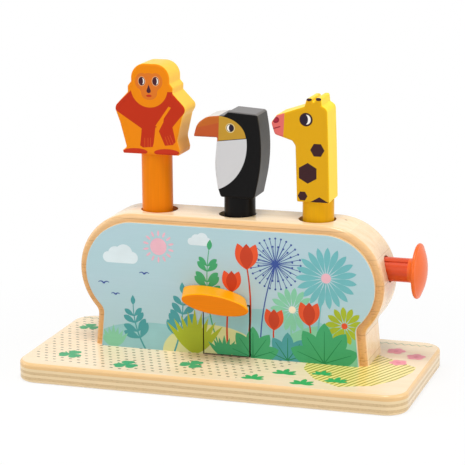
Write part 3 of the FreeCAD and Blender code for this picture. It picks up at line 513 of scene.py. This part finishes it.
FINISHES = {
    "base_plywood": base_plywood(), "body_wood": body_wood(),
    "front_print": printed("front_print", -1), "back_print": printed("back_print", 1),
    "flap_print": printed("flap_print", -1),
    "monkey_paint": monkey_paint(), "toucan_paint": toucan_paint(), "giraffe_paint": giraffe_paint(),
    "orange_rod": painted("orange_rod", "E87F03"),
    "black_rod": painted("black_rod", "100F0F", streak=0.2),
    "yellow_rod": painted("yellow_rod", "DFA40A"),
    "button_paint": button_paint(), "paddle_paint": paddle_paint(),
    "knob_paint": painted("knob_paint", "3FA08A", "y"),
    "bare_wood": plain_wood("bare_wood", "EBD2A6", "DFBC88"),
    "board_wood": plain_wood("board_wood", "DFBE8C", "CFA872", 0.6, 0.15, 3.0),
    "spring_steel": steel("spring_steel", "B9BCC0", 0.3),
    "screw_steel": steel("screw_steel", "C8C3B4", 0.35),
}
for part in frame["record"]["subparts"]:
    materials = frame["nodes"][part["node"]].data.materials
    materials.clear()
    materials.append(FINISHES[part["material_slot"]])


# ---------------------------------------------------------------- flat shapes for the prints

def leaf(base, tip, width, widest=0.45, blunt=1.0):
    """A leaf from base to tip, widest so far along it. A smaller blunt rounds its ends."""
    (x0, z0), (x1, z1) = base, tip
    dx, dz = x1 - x0, z1 - z0
    length = math.hypot(dx, dz)
    power = math.log(0.5) / math.log(widest)
    steps = 12
    side = [(i / steps, width / 2 * abs(math.sin(math.pi * (i / steps) ** power)) ** blunt)
            for i in range(steps + 1)]
    side[0], side[-1] = (0.0, 0.0), (1.0, 0.0)
    outline = side + [(t, -half) for t, half in side[-2:0:-1]]
    return [(x0 + dx * t - dz / length * half, z0 + dz * t + dx / length * half) for t, half in outline]


def disc(centre, radius, height=None, steps=28):
    height = radius if height is None else height
    angles = [2 * math.pi * i / steps for i in range(steps)]
    return [(centre[0] + radius * math.cos(a), centre[1] + height * math.sin(a)) for a in angles]


def bow(start, end, sag, steps=12):
    """Points from start to end, bowed to the left by sag at the middle."""
    (x0, z0), (x1, z1) = start, end
    dx, dz = x1 - x0, z1 - z0
    length = math.hypot(dx, dz)
    points = []
    for i in range(steps + 1):
        t = i / steps
        off = 4 * sag * t * (1 - t)
        points.append((x0 + dx * t - dz / length * off, z0 + dz * t + dx / length * off))
    return points


def ribbon(path, start_width, end_width):
    """A path drawn with a pen whose width changes along it."""
    left, right = [], []
    for i, (x, z) in enumerate(path):
        (xa, za), (xb, zb) = path[max(i - 1, 0)], path[min(i + 1, len(path) - 1)]
        length = math.hypot(xb - xa, zb - za)
        half = (start_width + (end_width - start_width) * i / (len(path) - 1)) / 2
        nx, nz = -(zb - za) / length * half, (xb - xa) / length * half
        left.append((x + nx, z + nz))
        right.append((x - nx, z - nz))
    return left + right[::-1]


INK_HEIGHT = 0.03      # how proud of its face a print stands, mm
ON_FACE = 1e-6         # how near the outermost face a corner has to lie, m
ONE_POINT = 1e-4       # points nearer than this are one, mm
INSIDE_SHAPES = 1      # delaunay_2d_cdt: keep the triangles that lie in a shape


class Page:
    """Flat shapes in ink, each on a layer. Where shapes overlap, the one on the highest layer shows."""

    def __init__(self):
        self.shapes = []

    def add(self, points, ink, layer):
        self.shapes.append((points, ink, layer))

    def lay_on(self, node, name, body, slot, axis, sign, flip=1):
        """Print the page on the flat outermost face of a CAD node, as one thin sheet inside its edges.

        The face looks along an axis, forwards or backwards by sign. The page runs along the other two
        axes, and flip -1 turns it round left to right.
        """
        across, up = [i for i in range(3) if i != axis]
        mesh = frame["nodes"][node].data
        reach = max(vertex.co[axis] * sign for vertex in mesh.vertices)
        points, faces, ranks = [], [], []

        def enter(loop, rank):
            turning = sum(x0 * z1 - x1 * z0 for (x0, z0), (x1, z1) in zip(loop, loop[1:] + loop[:1]))
            faces.append(range(len(points), len(points) + len(loop)))
            points.extend(Vector(p) for p in (loop if turning > 0 else loop[::-1]))
            ranks.append(rank)

        for face in mesh.polygons:
            places = [mesh.vertices[i].co for i in face.vertices]
            if all(abs(place[axis] * sign - reach) < ON_FACE for place in places):
                enter([(flip * place[across] / MM, place[up] / MM) for place in places], None)
        for order, (shape, ink, layer) in enumerate(self.shapes):
            enter(shape, (layer, order, ink))

        spots, _, triangles, _, _, sources = delaunay_2d_cdt(
            points, [], [list(f) for f in faces], INSIDE_SHAPES, ONE_POINT)
        inks = sorted({ink for _, ink, _ in self.shapes})
        sheet = bmesh.new()
        verts = {}
        for triangle, source in zip(triangles, sources):
            found = [ranks[i] for i in source]
            shown = [rank for rank in found if rank]
            if shown and None in found:
                for i in triangle:
                    if i not in verts:
                        place = [0.0, 0.0, 0.0]
                        place[across], place[up] = flip * spots[i].x * MM, spots[i].y * MM
                        place[axis] = sign * (reach + INK_HEIGHT * MM)
                        verts[i] = sheet.verts.new(place)
                sheet.faces.new([verts[i] for i in triangle]).material_index = inks.index(max(shown)[2])
        bmesh.ops.dissolve_limit(sheet, angle_limit=0.01, verts=sheet.verts, edges=sheet.edges,
                                 delimit={"MATERIAL"})
        mesh = bpy.data.meshes.new(name)
        sheet.to_mesh(mesh)
        sheet.free()
        for ink in inks:
            mesh.materials.append(INKS[ink])
        piece = bpy.data.objects.new(name, mesh)
        bpy.context.scene.collection.objects.link(piece)
        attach(piece, body)


def ink(name, code):
    finish = Finish("ink_" + name, code, 0.42, 0.2)
    finish.shade(finish.noise(11.0, 11.0, 11.0, seed=1.0), 0.08)
    finish.shade(finish.streaks("x", 25.0, 0.7, 3.0), 0.04)
    return finish.done()


INKS = {name: ink(name, code) for name, code in {
    "cloud": "D9E6EA", "pink": "E7B4C0", "rose": "DE8494", "navy": "3D549A",
    "teal": "6FB6BB", "deep_teal": "4A9A9E", "mint": "84C7A4", "lime": "A6B52C",
    "green": "43A46E", "dark_green": "24824F", "bright_green": "38A85C",
    "orange": "E0532A", "dark_orange": "C23E1E", "pale_lime": "D3D79A",
    "cream": "F4E6C8", "blush": "EC95A4", "sea": "93C4C8", "sage": "8DA489",
}.items()}


# ---------------------------------------------------------------- the landscape on the panels

def cloud(page, x, z, size):
    for dx, dz, r in ((-1.3, 0.0, 0.55), (-0.55, 0.35, 0.75), (0.35, 0.45, 0.9), (1.2, 0.05, 0.6)):
        page.add(disc((x + dx * size, z + dz * size), r * size), "cloud", 1)
    page.add([(x - 1.3 * size, z - 0.55 * size), (x + 1.2 * size, z - 0.55 * size),
              (x + 1.2 * size, z + 0.3 * size), (x - 1.3 * size, z + 0.3 * size)], "cloud", 1)


def sun(page, x, z, radius, rays=14, reach=1.9, filled=True):
    if filled:
        page.add(disc((x, z), radius), "pink", 1)
    for i in range(rays):
        a = 2 * math.pi * (i + 0.5) / rays
        near, far = around((x, z), radius * 1.2, a), around((x, z), radius * reach, a)
        page.add(leaf(near, far, 1.5, 0.5, 0.5), "pink", 1)


def bird(page, x, z, size):
    page.add(ribbon(bow((x - size, z + size * 0.2), (x, z), size * 0.26), 0.4, 1.1), "navy", 2)
    page.add(ribbon(bow((x, z), (x + size, z + size * 0.2), size * 0.26), 1.1, 0.4), "navy", 2)


def hill(page, x, foot, half_width, top, name, layer):
    page.add(disc((x, foot), half_width, top - foot, 60), name, layer)


def tulip(page, foot, head, size, sag):
    """A stem, and a head of three petals, the middle one in front."""
    page.add(ribbon(bow(foot, head, sag), 1.4, 0.9), "dark_orange", 6)
    x, z = head
    for lean, tone, layer in ((-0.42, "orange", 7), (0.42, "orange", 7), (0.0, "dark_orange", 8)):
        tip = (x + size * lean * 1.2, z + size * 1.15)
        page.add(leaf((x, z - size * 0.25), tip, size * 0.72, 0.5, 0.85), tone, layer)


def spray(page, foot, tip, sag, pairs, leaf_size, name, layer, stem_width=0.8, first=0.25):
    """A stem with rounded leaves in pairs up it and one at its tip."""
    steps, last, opening = 20, 0.93, math.radians(48)
    path = bow(foot, tip, sag, steps)
    page.add(ribbon(path, stem_width, stem_width * 0.5), name, layer)
    for k in range(pairs):
        i = round(steps * (first + (last - first) * k / pairs))
        (x0, z0), (x1, z1) = path[i], path[i + 1]
        heading = math.atan2(z1 - z0, x1 - x0)
        reach = leaf_size * (1.0 - 0.45 * k / pairs)
        for side in (1, -1):
            end = around((x0, z0), reach, heading + side * opening)
            page.add(leaf((x0, z0), end, reach * 0.42, 0.6, 0.7), name, layer)
    (x0, z0), (x1, z1) = path[-2], path[-1]
    step = leaf_size * 0.55 / math.hypot(x1 - x0, z1 - z0)
    page.add(leaf((x1, z1), (x1 + (x1 - x0) * step, z1 + (z1 - z0) * step), leaf_size * 0.26), name, layer)


def star_flower(page, centre, radius, petals, name, heart, foot, layer=4):
    """Narrow petals all round a small heart, on a thin stem."""
    page.add(ribbon(bow(foot, centre, 2.0), 1.3, 0.9), name, layer)
    width = radius * 3.9 / petals
    for i in range(petals):
        a = 2 * math.pi * i / petals + 0.2
        near, far = around(centre, radius * 0.1, a), around(centre, radius, a)
        page.add(leaf(near, far, width, 0.66, 0.8), name, layer)
    page.add(disc(centre, radius * 0.16), heart, layer + 1)


def seed_head(page, centre, radius, foot, sag):
    """A dandelion clock: thin rays, each with a dot at its end."""
    page.add(ribbon(bow(foot, centre, sag), 0.9, 0.7), "navy", 3)
    for ring, count, shift in ((1.0, 28, 0.0), (0.68, 20, 0.15)):
        for i in range(count):
            end = around(centre, radius * ring, 2 * math.pi * i / count + shift)
            page.add(ribbon([centre, end], 0.42, 0.42), "navy", 3)
            page.add(disc(end, 0.7, steps=10), "navy", 3)
    page.add(disc(centre, radius * 0.11), "navy", 4)


def tuft(page, x, z, height, blades, spread, name, layer, width=0.22):
    """Grass: blades that fan out from one foot."""
    for i in range(blades):
        lean = (i / (blades - 1) - 0.5) * 2
        reach = height * (1.0 - 0.35 * abs(lean))
        foot, tip = (x + lean * 1.5, z), (x + spread * lean, z + reach)
        page.add(leaf(foot, tip, height * width, 0.4), name, layer)


def broad_plant(page, x, z, size, leaves, name, vein, layer):
    """Broad leaves, low at the sides and upright in the middle, each with a fine midrib."""
    for i in sorted(range(leaves), key=lambda k: -abs(k - (leaves - 1) / 2)):
        lean = (i / (leaves - 1) - 0.5) * 2
        tip = around((x, z), size * (1.0 - 0.12 * abs(lean)), math.radians(90 - 68 * lean))
        page.add(leaf((x, z), tip, size * 0.42, 0.58, 0.85), name, layer)
        rib = [(x, z + 0.5), (x + (tip[0] - x) * 0.8, z + (tip[1] - z) * 0.8)]
        page.add(ribbon(rib, 0.7, 0.3), vein, layer + 1)


def front_page():
    """Sky on the left, and a bank of flowers and leaves on the right."""
    page = Page()
    ground = corners("base_board")[1].z
    cloud(page, -72, 73, 6.6)
    cloud(page, -18, 87, 4.4)
    sun(page, -46, 82, 5.6)
    for x, z, size in ((-84, 55, 3.8), (-76, 48, 3.0), (-56, 63, 3.4)):
        bird(page, x, z, size)

    hill(page, -50, ground, 44, 31, "sea", 1)
    hill(page, 26, ground, 62, 46, "sea", 1)
    hill(page, 66, ground, 34, 38, "mint", 2)
    hill(page, -10, ground, 34, 33, "pale_lime", 2)

    seed_head(page, (32, 76), 16.5, (22, ground), 3.0)
    star_flower(page, (65, 69), 20.0, 19, "teal", "pink", (60, ground))
    star_flower(page, (43, 47), 14.5, 15, "mint", "cream", (46, ground))
    star_flower(page, (77, 39), 12.5, 13, "lime", "orange", (72, ground), 5)
    spray(page, (-36, ground), (-30, 52), -2.0, 5, 14.0, "deep_teal", 3, 1.2)
    spray(page, (-56, ground), (-64, 42), 2.0, 4, 12.0, "deep_teal", 3, 1.2)
    spray(page, (-3, ground), (-12, 82), 5.0, 6, 13.0, "green", 3, 1.0, 0.50)
    tulip(page, (12, ground), (13, 74), 12.0, -3.0)
    tulip(page, (1, ground), (3, 58), 10.0, 2.0)
    tulip(page, (52, ground), (54, 40), 11.0, -2.0)
    tulip(page, (34, ground), (31, 35), 10.0, 1.5)
    tuft(page, -22, ground, 30, 9, 19, "lime", 5, 0.15)
    tuft(page, -78, ground, 15, 7, 10, "mint", 4)
    broad_plant(page, 17, ground, 21, 5, "green", "dark_green", 9)
    broad_plant(page, 40, ground, 19, 5, "deep_teal", "dark_green", 8)
    broad_plant(page, 64, ground, 27, 5, "green", "dark_green", 10)
    tuft(page, -2, ground, 14, 7, 11, "green", 7)
    return page


def back_page(knob_x, knob_z, knob_r):
    """The same country from behind, with the knob as its sun."""
    page = Page()
    ground = corners("base_board")[1].z
    sun(page, knob_x, knob_z, knob_r, 18, 1.42, False)
    cloud(page, -66, 74, 7.0)
    cloud(page, -22, 86, 4.6)
    for x, z, size in ((-40, 66, 3.6), (-32, 60, 2.8), (66, 62, 3.4), (74, 69, 2.6)):
        bird(page, x, z, size)
    hill(page, -56, ground, 52, 40, "sea", 1)
    hill(page, 42, ground, 50, 36, "sea", 1)
    hill(page, -14, ground, 36, 30, "pale_lime", 2)
    hill(page, 70, ground, 30, 30, "mint", 2)
    star_flower(page, (-62, 46), 15.0, 16, "teal", "pink", (-60, ground))
    star_flower(page, (-12, 50), 12.5, 14, "mint", "cream", (-10, ground))
    spray(page, (-38, ground), (-36, 52), -2.0, 5, 12.0, "deep_teal", 3, 1.1)
    spray(page, (80, ground), (84, 46), -2.0, 4, 11.0, "deep_teal", 3, 1.1)
    tulip(page, (4, ground), (7, 40), 11.0, -2.0)
    tulip(page, (-27, ground), (-26, 34), 10.0, 1.5)
    tulip(page, (62, ground), (61, 32), 9.0, 1.5)
    tuft(page, 22, ground, 22, 7, 14, "lime", 5)
    broad_plant(page, -66, ground, 20, 5, "green", "dark_green", 8)
    broad_plant(page, -8, ground, 18, 5, "green", "dark_green", 8)
    broad_plant(page, 46, ground, 19, 5, "deep_teal", "dark_green", 8)
    return page


# ---------------------------------------------------------------- the small prints on the base

def clover(page, x, y, size, turn):
    """Three leaves, each of two lobes, and a short stem."""
    for k in range(3):
        a = math.radians(turn + 120 * k)
        tip = around((x, y), size, a)
        for side in (-0.30, 0.30):
            lobe = (tip[0] - size * side * math.sin(a), tip[1] + size * side * math.cos(a))
            page.add(leaf((x, y), lobe, size * 0.72, 0.62, 0.6), "green", 2)
    end = around((x, y), size * 0.95, math.radians(turn + 60))
    page.add(ribbon(bow((x, y), end, 0.5), 0.7, 0.7), "green", 1)


def sprout(page, x, y, size):
    """Five leaves that fan out from one foot."""
    for angle, reach in ((12, 0.85), (50, 1.0), (90, 1.15), (130, 1.0), (168, 0.85)):
        tip = around((x, y), size * reach, math.radians(angle))
        page.add(leaf((x, y), tip, size * 0.40, 0.6, 0.7), "bright_green", 2)


def blossom(page, x, y, size, turn):
    """Five petals round a heart."""
    for k in range(5):
        tip = around((x, y), size, math.radians(turn + 72 * k))
        page.add(leaf((x, y), tip, size * 0.85, 0.6, 0.6), "blush", 2)
    page.add(disc((x, y), size * 0.26, steps=14), "rose", 3)


def zigzag(page, start, end, y):
    """A zigzag line along the base."""
    pitch, rise = 2.6, 3.0
    steps = round((end - start) / pitch)
    path = [(start + (end - start) * i / steps, y + (rise if i % 2 else 0.0)) for i in range(steps + 1)]
    page.add(ribbon(path, 1.0, 1.0), "sage", 2)


def base_page():
    """Clovers on the left, sprouts on the right, blossoms at the end and zigzags behind."""
    page = Page()
    for x, y, size, turn in ((-98, -32, 8.0, 80), (-56, -43, 8.0, 95), (-16, -31, 8.0, 70),
                             (-110, 30, 7.0, 100), (-30, 46, 6.0, 80)):
        clover(page, x, y, size, turn)
    for x, y, size in ((29, -49, 9.0), (45, -34, 9.5), (61, -51, 9.5), (80, -41, 9.0), (68, -29, 8.0)):
        sprout(page, x, y, size)
    for x, y, size, turn in ((101, 33, 6.4, 80), (116, 24, 6.4, 20), (108, 9, 6.0, 50)):
        blossom(page, x, y, size, turn)
    zigzag(page, -121.0, -84.0, 49.0)
    zigzag(page, 52.0, 121.0, 47.5)
    return page


def prints():
    page = front_page()
    page.lay_on("front_panel", "front_panel_print", "case", "front_print", Y, -1)
    page.lay_on("lever_flap", "lever_flap_print", "lever", "flap_print", Y, -1)
    low, high = corners("back_knob")
    page = back_page(-(low.x + high.x) / 2, (low.z + high.z) / 2, (high.x - low.x) / 2)
    page.lay_on("back_panel", "back_panel_print", "case", "back_print", Y, 1, flip=-1)
    base_page().lay_on("base_board", "base_board_print", "case", "base_plywood", Z, 1)


prints()


# ---------------------------------------------------------------- springs, each a copy of its CAD mesh

def soft_spring(node, axis, sign):
    """The spring's own mesh, copied into a piece of its own, with the CAD node hidden."""
    low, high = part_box(node)
    start = (low + high) / 2
    end = start.copy()
    start[axis], end[axis] = (low[axis], high[axis]) if sign > 0 else (high[axis], low[axis])
    mesh = frame["nodes"][node].data.copy()
    mesh.name = node + "_coil"
    piece = bpy.data.objects.new(node + "_coil", mesh)
    bpy.context.scene.collection.objects.link(piece)
    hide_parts(node)
    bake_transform(piece)


for animal in ("monkey", "toucan", "giraffe"):
    soft_spring(animal + "_spring", Z, 1)
soft_spring("button_spring", X, 1)
soft_spring("lever_spring", Y, -1)


# ---------------------------------------------------------------- the studio

def seen_directly(tree):
    """1 for the rays by which the camera sees something, also through or in a shiny piece."""
    path = tree.nodes.new("ShaderNodeLightPath")
    camera, glossy, through = (Field(tree, path.outputs[name]) for name in (
        "Is Camera Ray", "Is Glossy Ray", "Is Transmission Ray"))
    return camera.high(glossy).high(through)


def floor():
    """A white floor: it keeps the toy's shadow, and turns plain white further off."""
    mesh = bpy.data.meshes.new("floor")
    reach, depth = 6.0, -0.05 * MM
    edge = [(x * reach, y * reach, depth) for x, y in ((-1, -1), (1, -1), (1, 1), (-1, 1))]
    mesh.from_pydata(edge, [], [(0, 1, 2, 3)])
    piece = bpy.data.objects.new("floor", mesh)
    bpy.context.scene.collection.objects.link(piece)
    finish = Finish("floor", "F2F2F2", 0.8, 0.0)
    glow = finish.tree.nodes.new("ShaderNodeEmission")
    mix = finish.tree.nodes.new("ShaderNodeMixShader")
    near_glow, gain, fade_start, fade_length = 0.75, 0.25, 120.0, 160.0
    far = (finish.x * finish.x + finish.y * finish.y).math("SQRT")
    share = ((far - fade_start) * (gain / fade_length)).clamped().low(gain) + near_glow
    finish.tree.links.new((share * seen_directly(finish.tree)).socket, mix.inputs[0])
    finish.tree.links.new(finish.shader.outputs[0], mix.inputs[1])
    finish.tree.links.new(glow.outputs[0], mix.inputs[2])
    finish.tree.links.new(mix.outputs[0], finish.tree.nodes["Material Output"].inputs["Surface"])
    mesh.materials.append(finish.done())


ROOM_LIGHT = 0.42      # how strongly the white room lights the toy


def world():
    """An even white room. The camera and glossy surfaces see it at full white."""
    sky = bpy.data.worlds.new("studio")
    bpy.context.scene.world = sky
    sky.use_nodes = True
    tree = sky.node_tree
    light, white = tree.nodes["Background"], tree.nodes.new("ShaderNodeBackground")
    for node, strength in ((light, ROOM_LIGHT), (white, 1.0)):
        node.inputs["Color"].default_value = (1, 1, 1, 1)
        node.inputs["Strength"].default_value = strength
    mix = tree.nodes.new("ShaderNodeMixShader")
    tree.links.new(seen_directly(tree).socket, mix.inputs[0])
    tree.links.new(light.outputs[0], mix.inputs[1])
    tree.links.new(white.outputs[0], mix.inputs[2])
    tree.links.new(mix.outputs[0], tree.nodes["World Output"].inputs["Surface"])


def lamp(name, place, aim, size, watts):
    data = bpy.data.lights.new(name, "AREA")
    data.size = size
    data.energy = watts
    piece = bpy.data.objects.new(name, data)
    bpy.context.scene.collection.objects.link(piece)
    piece.location = place
    piece.rotation_mode = "QUATERNION"
    piece.rotation_quaternion = (Vector(aim) - Vector(place)).to_track_quat("-Z", "Y")


def camera():
    """The viewpoint: from the front right and a little above, through a long lens."""
    place, lens, sensor = (0.3728, -1.1517, 0.3834), 151.9, 36.0
    yaw, pitch, roll = (math.radians(a) for a in (17.87, 13.51, -0.46))
    forward = Vector((-math.sin(yaw) * math.cos(pitch), math.cos(yaw) * math.cos(pitch), -math.sin(pitch)))
    level = Vector((math.cos(yaw), math.sin(yaw), 0.0))
    upright = level.cross(forward)
    right = math.cos(roll) * level + math.sin(roll) * upright
    up = math.cos(roll) * upright - math.sin(roll) * level
    data = bpy.data.cameras.new("camera")
    data.sensor_width = sensor
    data.lens = lens
    piece = bpy.data.objects.new("camera", data)
    bpy.context.scene.collection.objects.link(piece)
    turn = Matrix((right, up, -forward)).transposed().to_4x4()
    piece.matrix_world = Matrix.Translation(place) @ turn
    bpy.context.scene.camera = piece


floor()
world()
lamp("front", (-0.55, -1.5, 0.65), aim=(0, 0, 0.09), size=0.9, watts=3.5)
lamp("above", (0.1, -0.35, 1.5), aim=(0, 0, 0.05), size=0.5, watts=13)
lamp("right", (1.5, -0.15, 0.35), aim=(0, 0, 0.10), size=0.9, watts=9)
lamp("left", (-1.4, -0.3, 0.55), aim=(0, 0, 0.10), size=0.8, watts=5)
camera()
bpy.context.scene.view_settings.view_transform = "Standard"
